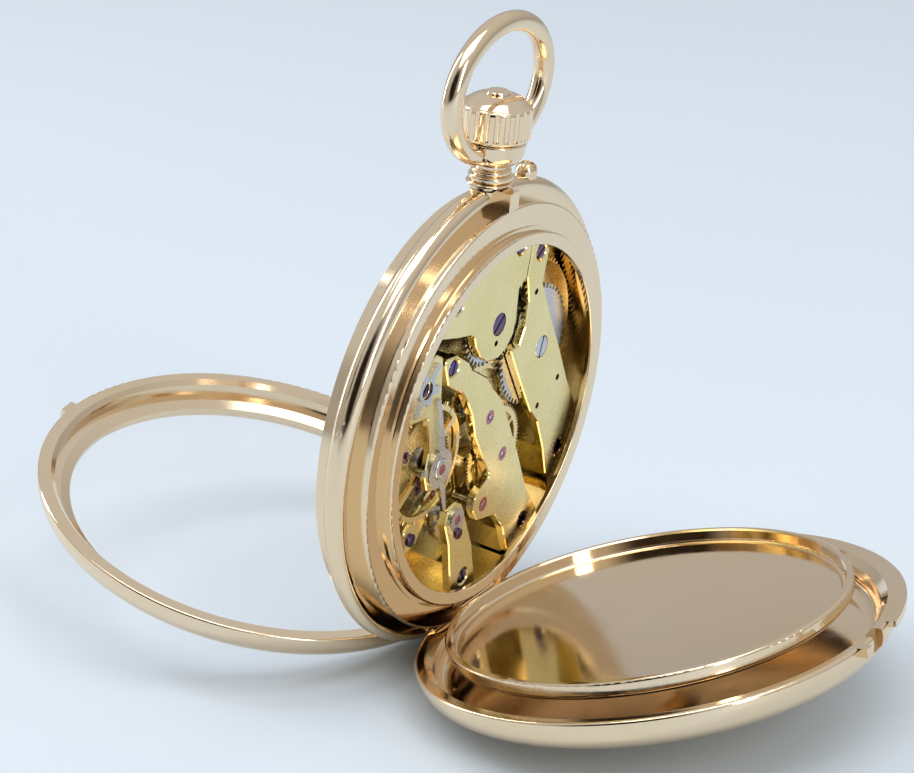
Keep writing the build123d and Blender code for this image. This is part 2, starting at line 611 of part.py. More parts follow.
def make_endstones():
    """Flat cap jewels over the escape and balance pivots."""
    escape = spot(*ESCAPE_AT) * disc(0.53, BRIDGE_TOP - 0.08, BRIDGE_TOP + 0.25)
    balance = spot(*BALANCE_AT) * disc(0.55, COCK_LEVEL[1] + 0.02, COCK_LEVEL[1] + 0.42)
    return [escape.solid(), balance.solid()]


def make_pallet_cock():
    x, z = PALLET_AT
    outline = [(x - 0.9, z - 0.2), (x - 0.5, z + 0.8), (x + 0.5, z + 0.8), (12.2, -9.4), (11.8, -12.0),
               (9.7, -11.4)]
    foot = [(9.9, -9.6), (12.1, -9.5), (11.7, -11.9), (9.8, -11.3)]
    body = bridge(outline, [foot], 0.5, 0.8)
    for hole in ((x, z, 0.55), (10.9, -10.5, 0.37)):
        body = body - spot(hole[0], hole[1]) * disc(hole[2], -3, 3)
    return body


def make_balance_cock():
    low, high = COCK_LEVEL
    body = bridge(BALANCE_COCK, COCK_FEET, low, high)
    body = body - spot(*BALANCE_AT) * (disc(JEWEL_R, high - 0.5, high + 1) + disc(0.42, 0, 5))
    for place in BRIDGE_SCREWS["cock"]:
        body = body - screw_hole(place, high, 4.6)
    return body - spot(*STUD_AT) * disc(0.47, 0, 5)


STUD_AT = along(BALANCE_AT, (14.2, -1.0), 3.35)


def make_stud():
    """Steel stud that holds the outer end of the hairspring."""
    body = spot(*STUD_AT) * disc(0.42, 1.75, COCK_LEVEL[1] + 0.3)
    grip = spot(*STUD_AT) * Pos(0, 0, COCK_LEVEL[1] + 0.3) * Rot(0, 0, 20) * Box(0.3, 0.7, 0.3)
    return body + grip


def make_regulator():
    """Steel regulator turning round the balance's cap, with its tail and curb-pin arm."""
    low = COCK_LEVEL[1]
    ring = spot(*BALANCE_AT) * tube(2.1, 1.15, low, low + 0.3)
    tail_end = (8.6, -7.2)
    head = along(BALANCE_AT, tail_end, 1.6)
    tail = plate([(head[0] - 0.45, head[1] + 0.1), (head[0] + 0.45, head[1]),
                  (tail_end[0] + 0.28, tail_end[1]),
                  (tail_end[0] - 0.28, tail_end[1] + 0.1)], low, low + 0.3)
    arm = plate([(9.4, -0.4), (10.6, -0.2), (11.3, 4.3), (11.9, 6.1), (11.3, 6.3), (10.7, 4.6)], low,
                low + 0.3)
    return ring + tail + arm - spot(*BALANCE_AT) * disc(1.15, 0, 5)


def make_regulator_cap():
    """Domed ring that holds the balance's endstone."""
    low = COCK_LEVEL[1]
    cap = lathe([(0.57, 0.0), (1.12, 0.0), (1.12, 0.3), (0.85, 0.48, 1.05, 0.43), (0.57, 0.48)])
    return spot(*BALANCE_AT, low) * cap


def make_micrometer_plate():
    """Steel spider that guides the regulator's arm."""
    low = COCK_LEVEL[1]
    centre = BRIDGE_SCREWS["cock"][0]
    star = spot(*centre) * disc(1.35, low, low + 0.28)
    for angle, reach in ((20, 2.3), (75, 2.4), (140, 3.0), (200, 1.8), (255, 2.3), (320, 2.9)):
        x, z = polar(reach, angle)
        tip = (centre[0] + x, centre[1] + z)
        side = polar(0.42, angle + 90)
        arm = plate([(centre[0] - side[0], centre[1] - side[1]), (centre[0] + side[0], centre[1] + side[1]),
                     (tip[0] + side[0], tip[1] + side[1]), (tip[0] - side[0], tip[1] - side[1])], low,
                     low + 0.28)
        star = star + (arm & disc(19.6, 0, 5))
    return star - spot(*centre) * disc(0.92, 0, 5)


# ---------------------------------------------------------------- going train
def make_wheel(place, own_teeth, other_place, other_teeth, level, hub_r, bore, spokes, rim_width, arm):
    pitch_r = pitch_radius(place, other_place, own_teeth, other_teeth)
    phase = mesh_phase(own_teeth, bearing(place, other_place), False)
    wheel = spoked(own_teeth, pitch_r, level[0], level[1], phase, spokes, hub_r, rim_width, arm)
    return spot(*place) * (wheel - disc(bore, -5, 5))


def make_pinion(place, own_teeth, other_place, other_teeth, level, top, bottom):
    """Leaves cut on an arbor with a pivot at each end."""
    pitch_r = pitch_radius(place, other_place, own_teeth, other_teeth)
    phase = mesh_phase(own_teeth, bearing(place, other_place), True)
    leaves = gear(own_teeth, pitch_r, level[0], level[1], phase, 0.7, 1.2, 0.2, 0.5)
    arbor = disc(ARBOR_R, LEDGE + 0.06, BRIDGE_BOTTOM + 0.3)
    pivots = disc(PIVOT_R, bottom, top)
    return spot(*place) * (leaves + arbor + pivots)


def make_centre_wheel():
    return make_wheel(CENTRE_AT, CENTRE_TEETH, THIRD_AT, THIRD_PINION_TEETH, CENTRE_LEVEL, 1.3, 0.55, 4,
                      0.75, 0.6)


def make_centre_pinion():
    pitch_r = pitch_radius(CENTRE_AT, BARREL_AT, CENTRE_PINION_TEETH, BARREL_TEETH)
    phase = mesh_phase(CENTRE_PINION_TEETH, bearing(CENTRE_AT, BARREL_AT), True)
    leaves = gear(CENTRE_PINION_TEETH, pitch_r, BARREL_TEETH_LEVEL[0] - 0.04, BARREL_TEETH_LEVEL[1] + 0.05,
                  phase,
                  0.6, 1.15, 0.2, 0.48)
    arbor = disc(0.55, LEDGE - 1.2, BRIDGE_BOTTOM + 0.3) + disc(PIVOT_R, 0, BRIDGE_TOP)
    return leaves + arbor + disc(0.45, -4.15, 0)


def make_third_wheel():
    return make_wheel(THIRD_AT, THIRD_TEETH, FOURTH_AT, FOURTH_PINION_TEETH, THIRD_LEVEL, 0.95, ARBOR_R, 5,
                      0.6, 0.42)


def make_third_pinion():
    return make_pinion(THIRD_AT, THIRD_PINION_TEETH, CENTRE_AT, CENTRE_TEETH, (CENTRE_LEVEL[0] - 0.1, 1.05),
                       BRIDGE_TOP - 0.05, LEDGE - 0.4)


def make_fourth_wheel():
    return make_wheel(FOURTH_AT, FOURTH_TEETH, ESCAPE_AT, ESCAPE_PINION_TEETH, FOURTH_LEVEL, 0.9, ARBOR_R,
                      5, 0.6, 0.42)


def make_fourth_pinion():
    return make_pinion(FOURTH_AT, FOURTH_PINION_TEETH, THIRD_AT, THIRD_TEETH, (THIRD_LEVEL[0] - 0.1, 1.5),
                       BRIDGE_TOP - 0.05, -3.35)


def make_escape_pinion():
    return make_pinion(ESCAPE_AT, ESCAPE_PINION_TEETH, FOURTH_AT, FOURTH_TEETH, (-0.82, -0.45),
                       BRIDGE_TOP - 0.2, LEDGE - 0.4)


def make_escape_wheel():
    """Fifteen club teeth on a four-armed steel wheel."""
    low, high = ESCAPE_LEVEL
    pitch = 360 / ESCAPE_TEETH
    body = tube(2.15, 1.8, low, high) + disc(0.7, low, high)
    for k in range(2):
        body = body + Rot(0, 0, 90 * k) * Pos(0, 0, (low + high) / 2) * Box(4.0, 0.32, high - low)
    club = [(1.95, -7.5), (2.35, -6.0), (ESCAPE_TIP_R - 0.12, 1.0), (ESCAPE_TIP_R, 2.6), (2.72, 4.4),
            (2.3, 1.2),
            (2.0, 3.5)]
    for k in range(ESCAPE_TEETH):
        points = [polar(r, a + k * pitch) for r, a in club]
        body = body + plate(points, low, high)
    return spot(*ESCAPE_AT) * (body - disc(ARBOR_R, -5, 5))


def towards(origin, target, forward, sideways):
    """Place given by distances forward and to the left of the line from origin to target."""
    length = distance(origin, target)
    ux, uz = (target[0] - origin[0]) / length, (target[1] - origin[1]) / length
    return origin[0] + ux * forward - uz * sideways, origin[1] + uz * forward + ux * sideways


def lever_shape(points, low, high):
    return plate([towards(PALLET_AT, BALANCE_AT, f, s) for f, s in points], low, high)


STONE_AT = (-0.88, 1.72)     # middle of a pallet stone: forward and sideways from the fork's arbor


def make_pallet_fork():
    low, high = ESCAPE_LEVEL
    body = spot(*PALLET_AT) * disc(0.55, low, high)
    f, s = STONE_AT
    for side in (-1, 1):
        arm = [(0.4, 0), (0.3, side * (s + 0.35)), (f + 0.35, side * (s + 0.45)),
               (f + 0.25, side * (s - 0.45)),
               (-0.25, side * 0.35)]
        body = body + lever_shape(arm, low, high)
        horn = [(3.3, side * 0.05), (3.9, side * 0.3), (4.7, side * 0.3), (5.0, side * 0.62),
                (4.8, side * 0.85),
                (3.8, side * 0.65), (3.2, side * 0.25)]
        body = body + lever_shape(horn, low, high)
    body = body + lever_shape([(0.2, 0.3), (3.5, 0.2), (3.5, -0.2), (0.2, -0.3)], low, high)
    return body + spot(*PALLET_AT) * (disc(0.25, LEDGE + 0.02, 0.48) + disc(PIVOT_R, LEDGE - 0.4, 0.78))


def make_pallet_stones():
    low, high = ESCAPE_LEVEL
    stones = []
    f, s = STONE_AT
    for side in (-1, 1):
        outline = [(f + 0.25, side * (s - 0.2)), (f + 0.25, side * (s + 0.15)),
                   (f - 0.12, side * (s + 0.18)),
                   (f - 0.05, side * (s - 0.22))]
        stones.append(lever_shape(outline, high, high + 0.14).solid())
    return Compound(children=stones)


BALANCE_RIM_R = 6.2


def make_balance_wheel():
    """Cut bimetallic rim with two arms."""
    low, high = BALANCE_LEVEL
    body = tube(BALANCE_RIM_R, BALANCE_RIM_R - 0.55, low, high)
    bar = Pos(0, 0, (low + high) / 2) * Box(2 * BALANCE_RIM_R - 0.5, 0.75, high - low)
    body = body + bar + disc(1.1, low, high)
    for side in (0, 180):
        cut = Rot(0, 0, 14 + side) * Pos(BALANCE_RIM_R - 0.3, 0, (low + high) / 2) * Box(1.2, 0.14, 1)
        body = body - cut
    return spot(*BALANCE_AT) * (Rot(0, 0, 35) * body - disc(ARBOR_R, -5, 5))


def make_balance_screws():
    """Poising screws standing out of the balance rim."""
    low, high = BALANCE_LEVEL
    screws = []
    for k in range(14):
        angle = 35 + 24 + 180 * (k // 7) + 21 * (k % 7)
        head = Pos(BALANCE_RIM_R + 0.19, 0, (low + high) / 2) * Rot(0, 90, 0) * Cylinder(0.2, 0.38)
        screws.append((spot(*BALANCE_AT) * Rot(0, 0, angle) * head).solid())
    return Compound(children=screws)


def make_balance_staff():
    """Staff with the roller and its impulse pin."""
    roller = disc(1.35, 0.22, 0.42)
    x, z = towards((0, 0), (PALLET_AT[0] - BALANCE_AT[0], PALLET_AT[1] - BALANCE_AT[1]), 1.05, 0)
    pin = spot(x, z) * disc(0.15, 0.06, 0.25)
    staff = disc(ARBOR_R, LEDGE + 0.06, COCK_LEVEL[0] - 0.02) + disc(0.5, 1.7, 2.15)
    pivots = disc(PIVOT_R, LEDGE - 0.4, COCK_LEVEL[1] - 0.02)
    return spot(*BALANCE_AT) * (roller + pin + staff + pivots)


def make_hairspring():
    """Flat spiral spring from the balance's collet to the stud."""
    inner_r, outer_r, turns, per_turn = 0.62, 2.75, 7, 24
    half = 0.04
    low, high = 1.82, 2.05
    end = bearing(BALANCE_AT, STUD_AT) - math.radians(9)
    count = turns * per_turn
    centre_line = []
    for k in range(count + 1):
        share = k / count
        centre_line.append((inner_r + (outer_r - inner_r) * share, end - 2 * math.pi * turns * (1 - share)))
    outer = [((r + half) * math.cos(a), (r + half) * math.sin(a)) for r, a in centre_line]
    inner = [((r - half) * math.cos(a), (r - half) * math.sin(a)) for r, a in reversed(centre_line)]
    ribbon = Pos(0, 0, low) * extrude(make_face(Polyline(outer + inner, close=True)), amount=high - low)
    return spot(*BALANCE_AT) * ribbon


# ---------------------------------------------------------------- barrel and winding
DRUM_R = 8.85


def make_barrel():
    """Toothed going barrel, open towards the back."""
    pitch_r = pitch_radius(BARREL_AT, CENTRE_AT, BARREL_TEETH, CENTRE_PINION_TEETH)
    phase = mesh_phase(BARREL_TEETH, bearing(BARREL_AT, CENTRE_AT), False)
    body = gear(BARREL_TEETH, pitch_r, BARREL_TEETH_LEVEL[0], BARREL_TEETH_LEVEL[1], phase)
    body = body + disc(DRUM_R, BARREL_LEVEL[0], BARREL_LEVEL[1])
    cavity = disc(DRUM_R - 0.45, BARREL_LEVEL[0] + 0.25, BARREL_LEVEL[1] + 1)
    return spot(*BARREL_AT) * (body - cavity - disc(1.05, -5, 5))


def make_barrel_cover():
    cover = disc(DRUM_R - 0.47, BARREL_LEVEL[1] - 0.2, BARREL_LEVEL[1]) - disc(1.05, -5, 5)
    return spot(*BARREL_AT) * cover


def make_barrel_arbor():
    return spot(*BARREL_AT) * (disc(1.25, BARREL_LEVEL[0] - 0.9, LEDGE - 0.02) + disc(1.0, -0.95, 1.1)
                               + disc(1.6, -0.4, 0.25) + disc(0.8, 1.1, BRIDGE_BOTTOM + 0.4))


def make_mainspring():
    """Coiled strip between the barrel's wall and its arbor."""
    inner_r, outer_r, turns, per_turn = 2.2, DRUM_R - 0.75, 9, 24
    half = 0.1
    count = turns * per_turn
    line = []
    for k in range(count + 1):
        share = k / count
        line.append((inner_r + (outer_r - inner_r) * share, 2 * math.pi * turns * share))
    outer = [((r + half) * math.cos(a), (r + half) * math.sin(a)) for r, a in line]
    inner = [((r - half) * math.cos(a), (r - half) * math.sin(a)) for r, a in reversed(line)]
    ribbon = Pos(0, 0, -0.45) * extrude(make_face(Polyline(outer + inner, close=True)), amount=0.75)
    return spot(*BARREL_AT) * ribbon


def make_ratchet_wheel():
    pitch_r = pitch_radius(BARREL_AT, CROWN_WHEEL_AT, RATCHET_TEETH, CROWN_TEETH)
    phase = mesh_phase(RATCHET_TEETH, bearing(BARREL_AT, CROWN_WHEEL_AT), False)
    return spot(*BARREL_AT) * (gear(RATCHET_TEETH, pitch_r, *WINDING_LEVEL, phase) - disc(0.8, -5, 5))


CONTRATE_R = (3.35, 4.05)
CONTRATE_TEETH = 28
PINION_LEAVES = 8


def make_crown_wheel():
    """Transmission wheel with spur teeth round it and contrate teeth under it."""
    pitch_r = pitch_radius(CROWN_WHEEL_AT, BARREL_AT, CROWN_TEETH, RATCHET_TEETH)
    phase = mesh_phase(CROWN_TEETH, bearing(CROWN_WHEEL_AT, BARREL_AT), True)
    body = gear(CROWN_TEETH, pitch_r, *WINDING_LEVEL, phase)
    mid_r = sum(CONTRATE_R) / 2
    for k in range(CONTRATE_TEETH):
        turn = 360 * (k + 0.5) / CONTRATE_TEETH - 90
        tooth = Rot(0, 0, turn) * Pos(mid_r, 0, 0.9) * Box(CONTRATE_R[1] - CONTRATE_R[0], 0.26, 0.42)
        body = body + tooth
    return spot(*CROWN_WHEEL_AT) * (body - disc(0.63, -5, 5))


def make_crown_wheel_screw():
    """Shouldered screw that the transmission wheel turns on."""
    x, z = CROWN_WHEEL_AT
    post = disc(0.6, 0.75, BRIDGE_TOP - 0.44)
    head = screw(1.2, 0.42, 0.5, 0.2, 0.26, 0.2, 40)
    return spot(x, z) * (post + Pos(0, 0, BRIDGE_TOP - 0.44) * head)


def make_ratchet_screw():
    head = screw(1.2, 0.42, 0.6, 0.05, 0.26, 0.2, 75)
    return spot(*BARREL_AT) * (Pos(0, 0, BRIDGE_TOP - 0.44) * head)


def make_stem():
    """Winding stem from the crown to its pivot in the plate."""
    rod = disc(STEM_R, 0, CROWN_BOTTOM - 12.9) + disc(STEM_R - 0.17, -0.4, CROWN_BOTTOM + 1.9 - 12.9)
    return towards_twelve(rod, STEM_LEVEL, 12.9)


def make_winding_pinion():
    """Pinion on the stem that drives the contrate teeth."""
    tip_r = 0.95
    face = gear_face(PINION_LEAVES, tip_r, 0.7, 0.2, 0.42, math.pi / 2)
    leaves = extrude(face, amount=0.62) - disc(STEM_R, -5, 5)
    return towards_twelve(leaves, STEM_LEVEL, CROWN_WHEEL_AT[1] + CONTRATE_R[0] + 0.05)


def make_sliding_clutch():
    """Grooved clutch beside the winding pinion."""
    body = disc(1.15, 0, 0.7) + disc(0.85, 0.7, 1.3) + disc(1.15, 1.3, 1.9) - disc(STEM_R, -5, 5)
    return towards_twelve(body, STEM_LEVEL, 15.4)


CLICK_AT = (-3.15, 14.9)


def make_click():
    """Pawl beside the ratchet wheel."""
    x, z = CLICK_AT
    pitch_r = pitch_radius(BARREL_AT, CROWN_WHEEL_AT, RATCHET_TEETH, CROWN_TEETH)
    tip_r = pitch_r * (1 + 0.75 * 2 / RATCHET_TEETH)
    beak = along(BARREL_AT, (-6.0, 11.6), tip_r + 0.12)
    ux, uz = (beak[0] - x) / distance(beak, CLICK_AT), (beak[1] - z) / distance(beak, CLICK_AT)
    body = spot(x, z) * disc(0.75, 1.1, 1.5)
    body = body + plate([(x - uz * 0.6, z + ux * 0.6), (x + uz * 0.6, z - ux * 0.6), beak], 1.1, 1.5)
    return body - spot(x, z) * disc(0.34, -5, 5)


def make_click_spring():
    """Bent leaf spring beside the click."""
    strip = [(-2.2, 16.3), (-2.2, 16.0), (-3.9, 15.85), (-4.5, 15.2), (-4.65, 15.3), (-4.1, 16.15)]
    return plate(strip, 1.1, 1.4) + plate([(-2.7, 16.0), (-2.1, 16.0), (-2.1, 16.6), (-2.7, 16.6)], 1.1,
                                          BRIDGE_BOTTOM)


# ---------------------------------------------------------------- motion work, dial and hands
MINUTE_WHEEL_AT = polar(4.08, 45)


def make_cannon_pinion():
    pitch_r = pitch_radius(CENTRE_AT, MINUTE_WHEEL_AT, CANNON_TEETH, MINUTE_WHEEL_TEETH)
    phase = mesh_phase(CANNON_TEETH, bearing(CENTRE_AT, MINUTE_WHEEL_AT), True)
    leaves = gear(CANNON_TEETH, pitch_r, -2.0, MOTION_FLOOR - 0.08, phase, 0.65, 1.15)
    return leaves + disc(0.72, -4.2, -1.9) - disc(0.45, -6, 0) - disc(0.57, -2.12, 0)


def make_minute_wheel():
    """Minute wheel with its pinion on the far side."""
    wheel_r = pitch_radius(MINUTE_WHEEL_AT, CENTRE_AT, MINUTE_WHEEL_TEETH, CANNON_TEETH)
    pinion_r = pitch_radius(MINUTE_WHEEL_AT, CENTRE_AT, MINUTE_PINION_TEETH, HOUR_TEETH)
    inward = bearing(MINUTE_WHEEL_AT, CENTRE_AT)
    body = gear(MINUTE_WHEEL_TEETH, wheel_r, -1.85, MOTION_FLOOR - 0.1,
                mesh_phase(MINUTE_WHEEL_TEETH, inward, False))
    body = body + gear(MINUTE_PINION_TEETH, pinion_r, -2.42, -1.84,
                       mesh_phase(MINUTE_PINION_TEETH, inward, False), 0.65, 1.15)
    return spot(*MINUTE_WHEEL_AT) * (body - disc(0.3, -5, 5))


def make_hour_wheel():
    wheel_r = pitch_radius(CENTRE_AT, MINUTE_WHEEL_AT, HOUR_TEETH, MINUTE_PINION_TEETH)
    phase = mesh_phase(HOUR_TEETH, bearing(CENTRE_AT, MINUTE_WHEEL_AT), True)
    body = gear(HOUR_TEETH, wheel_r, -2.38, -2.12, phase) + disc(1.15, -3.72, -2.12)
    return body - disc(0.76, -6, 0)


def make_dial():
    """Enamel dial with a sunk seconds ring and three feet."""
    low, high = DIAL_LEVEL
    body = disc(21.3, low, high) - disc(1.3, -5, 0)
    body = body - spot(*FOURTH_AT) * (disc(4.6, low - 1, low + 0.2) + disc(0.45, -5, 0))
    for place in DIAL_FEET:
        body = body + spot(*place) * disc(0.38, high - 0.01, high + 1.2)
    return body


def make_hand(length, tail, width, low, high, pipe_r, hole_r, turn, spade):
    """Watch hand pointing to 12 before it is turned."""
    outline = [(-width * 0.35, -tail), (width * 0.35, -tail), (width * 0.3, length * 0.55),
               (spade, length * 0.66),
               (0.09, length * 0.8), (0.05, length), (-0.05, length), (-0.09, length * 0.8),
               (-spade, length * 0.66),
               (-width * 0.3, length * 0.55)]
    body = plate(outline, low, high) + disc(pipe_r, low, high)
    return Rot(0, 0, turn) * (body - disc(hole_r, -9, 5))


def bridge_screw_list():
    listed = []
    for k, name in enumerate(("barrel", "ratchet", "train", "escape")):
        for n, place in enumerate(BRIDGE_SCREWS[name]):
            listed.append((place, BRIDGE_TOP, 3.6, 37 * k + 61 * n))
    return listed


def make_bridge_screws():
    """The bridges' fixing screws and the shouldered screw of the transmission wheel."""
    pieces = [movement_screw(place, top, depth, turn).solid() for place, top, depth,
              turn in bridge_screw_list()]
    return Compound(children=pieces + [make_crown_wheel_screw().solid()])


def make_cock_screws():
    small = screw(0.6, 0.3, 0.19, 0.45, 0.16, 0.14, 25)
    pallet = screw(0.7, 0.3, 0.35, 0.85, 0.2, 0.15, 70)
    pieces = [movement_screw(BRIDGE_SCREWS["cock"][0], COCK_LEVEL[1], 4.6, 50).solid(),
              (spot(*CAP_SCREW_AT, BRIDGE_TOP + 0.35) * small).solid(),
              (spot(10.9, -10.5, 0.8) * pallet).solid()]
    return Compound(children=pieces)


def make_case_screws():
    """Screws whose heads hold the movement against the case's ledge."""
    pieces = [(spot(*place, 0.05) * screw(1.1, 0.4, 0.4, 1.6, 0.24, 0.2,
                                          30)).solid() for place in CASE_SCREWS]
    return Compound(children=pieces)


def case_screw_pockets():
    return fuse_all([spot(*place, -0.05) * disc(1.25, 0, 0.62) for place in CASE_SCREWS])


# ---------------------------------------------------------------- assembly
def opened(shape, hinge, degrees):
    """Turns a cover about its hinge; positive opens towards the back."""
    y, level = hinge
    return Pos(0, y, level) * Rot(-degrees, 0, 0) * Pos(0, -y, -level) * shape


def make_parts():
    case = make_case_middle() - case_screw_pockets()
    back = trim_past_hinge(make_back_cover(), BACK_HINGE, 0, 4.6)
    cuvette = make_cuvette()
    bezel = trim_past_hinge(make_bezel(), BEZEL_HINGE, -4.2, 0)
    case, back, back_pin = fit_hinge(case, back, BACK_HINGE, 6.0, 5, COVER_KNUCKLE_R)
    case, cuvette, cuvette_pin = fit_hinge(case, cuvette, CUVETTE_HINGE, 3.2, 3, CUVETTE_KNUCKLE_R)
    case, bezel, bezel_pin = fit_hinge(case, bezel, BEZEL_HINGE, 6.0, 5, COVER_KNUCKLE_R)
    return {
        "case_middle": case,
        "pendant": make_pendant(),
        "bow": make_bow(),
        "crown": make_crown(),
        "winding_stem": make_stem(),
        "winding_pinion": make_winding_pinion(),
        "sliding_clutch": make_sliding_clutch(),
        "setting_pusher": make_setting_pusher(),
        "pusher_guard": make_pusher_guard(),
        "bezel": opened(bezel, BEZEL_HINGE, -BEZEL_OPEN),
        "crystal": opened(make_crystal(), BEZEL_HINGE, -BEZEL_OPEN),
        "back_cover": opened(back, BACK_HINGE, BACK_OPEN),
        "cuvette": opened(cuvette, CUVETTE_HINGE, CUVETTE_OPEN),
        "hinge_pins": Compound(children=[pin.solid() for pin in (bezel_pin, back_pin, cuvette_pin)]),
        "case_screws": make_case_screws(),
        "main_plate": make_main_plate(),
        "barrel_bridge": make_barrel_bridge(),
        "ratchet_bridge": make_ratchet_bridge(),
        "train_bridge": make_train_bridge(),
        "escape_cock": make_escape_cock(),
        "escape_cap": make_escape_cap(),
        "pallet_cock": make_pallet_cock(),
        "balance_cock": make_balance_cock(),
        "hairspring_stud": make_stud(),
        "regulator": make_regulator(),
        "regulator_cap": make_regulator_cap(),
        "micrometer_plate": make_micrometer_plate(),
        "bridge_screws": make_bridge_screws(),
        "cock_screws": make_cock_screws(),
        "ratchet_screw": make_ratchet_screw(),
        "jewels": make_jewels(),
        "barrel": make_barrel(),
        "barrel_cover": make_barrel_cover(),
        "barrel_arbor": make_barrel_arbor(),
        "mainspring": make_mainspring(),
        "ratchet_wheel": make_ratchet_wheel(),
        "crown_wheel": make_crown_wheel(),
        "click": make_click(),
        "click_spring": make_click_spring(),
        "centre_wheel": make_centre_wheel(),
        "centre_pinion": make_centre_pinion(),
        "third_wheel": make_third_wheel(),
        "third_pinion": make_third_pinion(),
        "fourth_wheel": make_fourth_wheel(),
        "fourth_pinion": make_fourth_pinion(),
        "escape_wheel": make_escape_wheel(),
        "escape_pinion": make_escape_pinion(),
        "pallet_fork": make_pallet_fork(),
        "pallet_stones": make_pallet_stones(),
        "balance_wheel": make_balance_wheel(),
        "balance_screws": make_balance_screws(),
        "balance_staff": make_balance_staff(),
        "hairspring": make_hairspring(),
        "cannon_pinion": make_cannon_pinion(),
        "minute_wheel": make_minute_wheel(),
        "hour_wheel": make_hour_wheel(),
        "dial": make_dial(),
        "hour_hand": make_hand(12.0, 2.4, 1.0, -3.7, -3.52, 1.7, 1.15, 60, 1.15),
        "minute_hand": make_hand(18.2, 3.0, 0.9, -4.2, -4.02, 1.35, 0.72, -50, 0.85),
        "seconds_hand": spot(*FOURTH_AT) * make_hand(3.9, 1.6, 0.35, -3.35, -3.2, 0.5, PIVOT_R, 110, 0.15),
    }


def row_location(lean, y_shift, z_shift):
    """From the bench frame to the object's own frame: back towards +Y, pendant up, leaning back."""
    return Pos(0, y_shift, z_shift) * Rot(-90 - lean, 0, 0)


Y_SHIFT = 2.328           # puts the middle of the object's depth over the origin
Z_SHIFT = 26.669          # puts the lowest point of the open watch on the ground


def main():
    os.makedirs("parts", exist_ok=True)
    place = row_location(LEAN, Y_SHIFT, Z_SHIFT)
    for name, shape in make_parts().items():
        placed = place * shape
        placed.label = name
        export_step(placed, "parts/" + name + ".step")


if __name__ == "__main__":
    main()
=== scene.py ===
"""Looks of an open pocket watch: finishes, dial printing, floor, lights and camera."""

import json
import math

import bmesh
import bpy
from mathutils import Matrix, Vector


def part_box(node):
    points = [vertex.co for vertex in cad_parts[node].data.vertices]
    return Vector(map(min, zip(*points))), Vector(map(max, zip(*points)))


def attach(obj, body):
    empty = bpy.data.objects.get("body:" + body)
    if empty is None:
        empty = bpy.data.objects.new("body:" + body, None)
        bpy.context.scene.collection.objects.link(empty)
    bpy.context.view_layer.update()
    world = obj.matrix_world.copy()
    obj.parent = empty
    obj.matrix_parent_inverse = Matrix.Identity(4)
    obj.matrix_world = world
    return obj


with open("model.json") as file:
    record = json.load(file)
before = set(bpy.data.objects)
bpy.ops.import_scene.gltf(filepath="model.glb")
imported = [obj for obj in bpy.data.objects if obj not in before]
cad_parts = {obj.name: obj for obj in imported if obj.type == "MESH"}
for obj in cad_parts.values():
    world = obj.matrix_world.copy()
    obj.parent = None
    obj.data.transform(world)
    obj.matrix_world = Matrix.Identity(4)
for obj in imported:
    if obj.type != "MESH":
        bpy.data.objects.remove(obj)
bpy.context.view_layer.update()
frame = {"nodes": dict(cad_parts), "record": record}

# The watch stands leaning on its open covers. Its bench frame has the watch on its dial, with the case's
# centre at the origin, +Y to 6 o'clock and +Z out of the back.
MM = 0.001
LEAN = 7.6
CASE_CENTRE = (0.0, 2.328, 26.669)
DIAL_FACE = -3.1
SECONDS_AT = (-0.3, 10.2)

# Camera: its place, the point it looks at and its lens in millimetres, and its roll in degrees.
CAMERA_AT = (204.84, 132.48, 121.72)
CAMERA_AIM = (-0.11, 0.9, 28.94)
CAMERA_ROLL = -1.67
CAMERA_LENS = 99.7
SENSOR_WIDTH = 36.0

# Direction of the dark end of the room, which the polished gold shows as dark bands.
DARK_SIDE = (0.75, 0.1, 0.3)

# Dial printing, in millimetres.
TRACK_R = 20.3
TRACK_LENGTH = 0.9
NUMERAL_R = 17.4
NUMERAL_HEIGHT = 2.9
STROKE = 0.34
HAIRLINE = 0.13
PRINT_THICK = 0.025
SECONDS_TRACK_R = 4.1
LETTER_WIDTH = {"I": 0.75, "V": 1.55, "X": 1.55}
LETTER_REACH = 0.48
ROMANS = ("XII", "I", "II", "III", "IIII", "V", "VI", "VII", "VIII", "IX", "X", "XI")
SIXTIETHS = 60

# Faces whose normal lies this close to the watch's axis are flats; the rest are bevels and edges.
FLAT_FROM = 0.97
FLAT_TO = 0.995

FLOOR_HALF = 2.0
LIGHT_AIM = (0, 0.01, 0.03)


def bench_place():
    """Matrix from bench millimetres to the standing watch in metres."""
    stand = Matrix.Translation(Vector(CASE_CENTRE) * MM)
    return stand @ Matrix.Rotation(math.radians(-90 - LEAN), 4, "X") @ Matrix.Scale(MM, 4)


def bench_axis():
    """Direction out of the back of the watch, in the standing frame."""
    return (bench_place().to_3x3() @ Vector((0, 0, 1))).normalized()


# ---------------------------------------------------------------- materials


def add(tree, kind, **settings):
    """New shader node with the given properties."""
    node = tree.nodes.new(kind)
    for name, value in settings.items():
        setattr(node, name, value)
    return node


def start_material(name, colour, metallic, roughness):
    """New material with one shader; its colour is linear."""
    material = bpy.data.materials.new(name)
    material.use_nodes = True
    shader = material.node_tree.nodes["Principled BSDF"]
    shader.inputs["Base Color"].default_value = (*colour, 1)
    shader.inputs["Metallic"].default_value = metallic
    shader.inputs["Roughness"].default_value = roughness
    return material, material.node_tree, shader


def object_point(tree, stretch=(1, 1, 1)):
    """Object coordinates in metres, scaled along each axis."""
    coordinates = add(tree, "ShaderNodeTexCoord")
    mapping = add(tree, "ShaderNodeMapping")
    mapping.inputs["Scale"].default_value = stretch
    tree.links.new(coordinates.outputs["Object"], mapping.inputs["Vector"])
    return mapping.outputs["Vector"]


